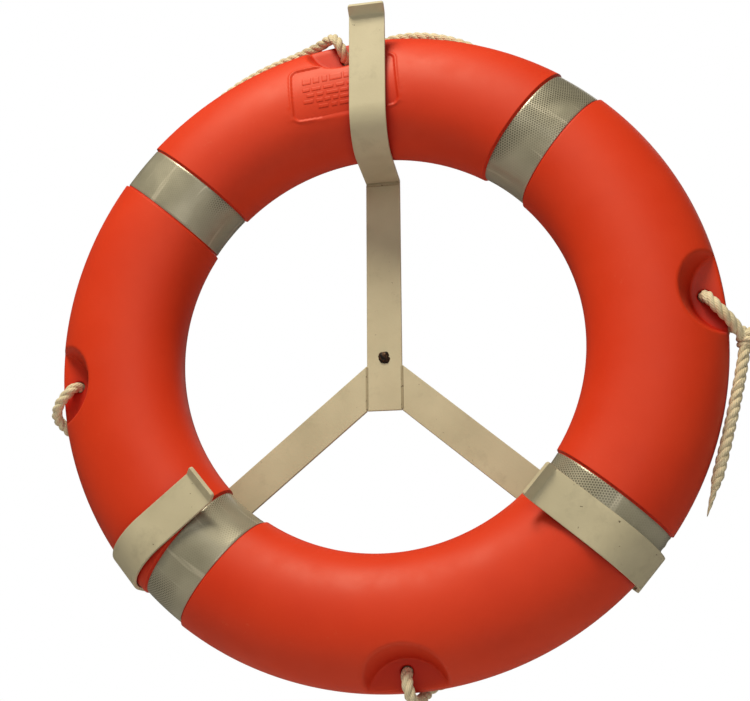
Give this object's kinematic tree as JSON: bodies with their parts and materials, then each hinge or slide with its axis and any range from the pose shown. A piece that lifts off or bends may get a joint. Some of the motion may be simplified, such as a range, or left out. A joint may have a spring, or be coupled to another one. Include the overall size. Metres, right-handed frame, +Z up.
{
  "type": "ring lifebuoy",
  "caption": "Ring lifebuoy with reflective tape and a grab line, hanging on a wall bracket that it lifts off.",
  "frame": {"origin": "axis of the wall screw in the plane of the wall", "axes": "+Z up, +Y into the wall along the screw, +X to the right as seen from the front"},
  "size_m": [0.7626, 0.181, 0.7496],
  "materials": {
    "orange_shell": "satin",
    "foam": "matte",
    "reflective_tape": "satin",
    "rope": "matte",
    "bracket_paint": "satin",
    "screw": "satin"
  },
  "bodies": {
    "bracket": {"upright_bar": "bracket_paint", "top_hook": "bracket_paint", "left_arm": "bracket_paint", "right_arm": "bracket_paint", "top_hook_weld": "bracket_paint", "left_arm_weld": "bracket_paint", "right_arm_weld": "bracket_paint", "wall_screw": "screw"},
    "ring": {"buoy_shell": "orange_shell", "foam_core": "foam", "foam_filler_plug": "orange_shell", "reflective_tape_1": "reflective_tape", "reflective_tape_2": "reflective_tape", "reflective_tape_3": "reflective_tape", "reflective_tape_4": "reflective_tape", "grab_line_upper_right": "rope", "grab_line_upper_left": "rope", "grab_line_lower_left": "rope", "grab_line_lower_right": "rope", "grab_line_knot": "rope", "grab_line_tail": "rope"}
  },
  "joints": [
    {"name": "ring_lift", "type": "slide", "parent": "bracket", "child": "ring", "axis": [0, 0, 1], "range_m": [0, 0.2]}
  ]
}
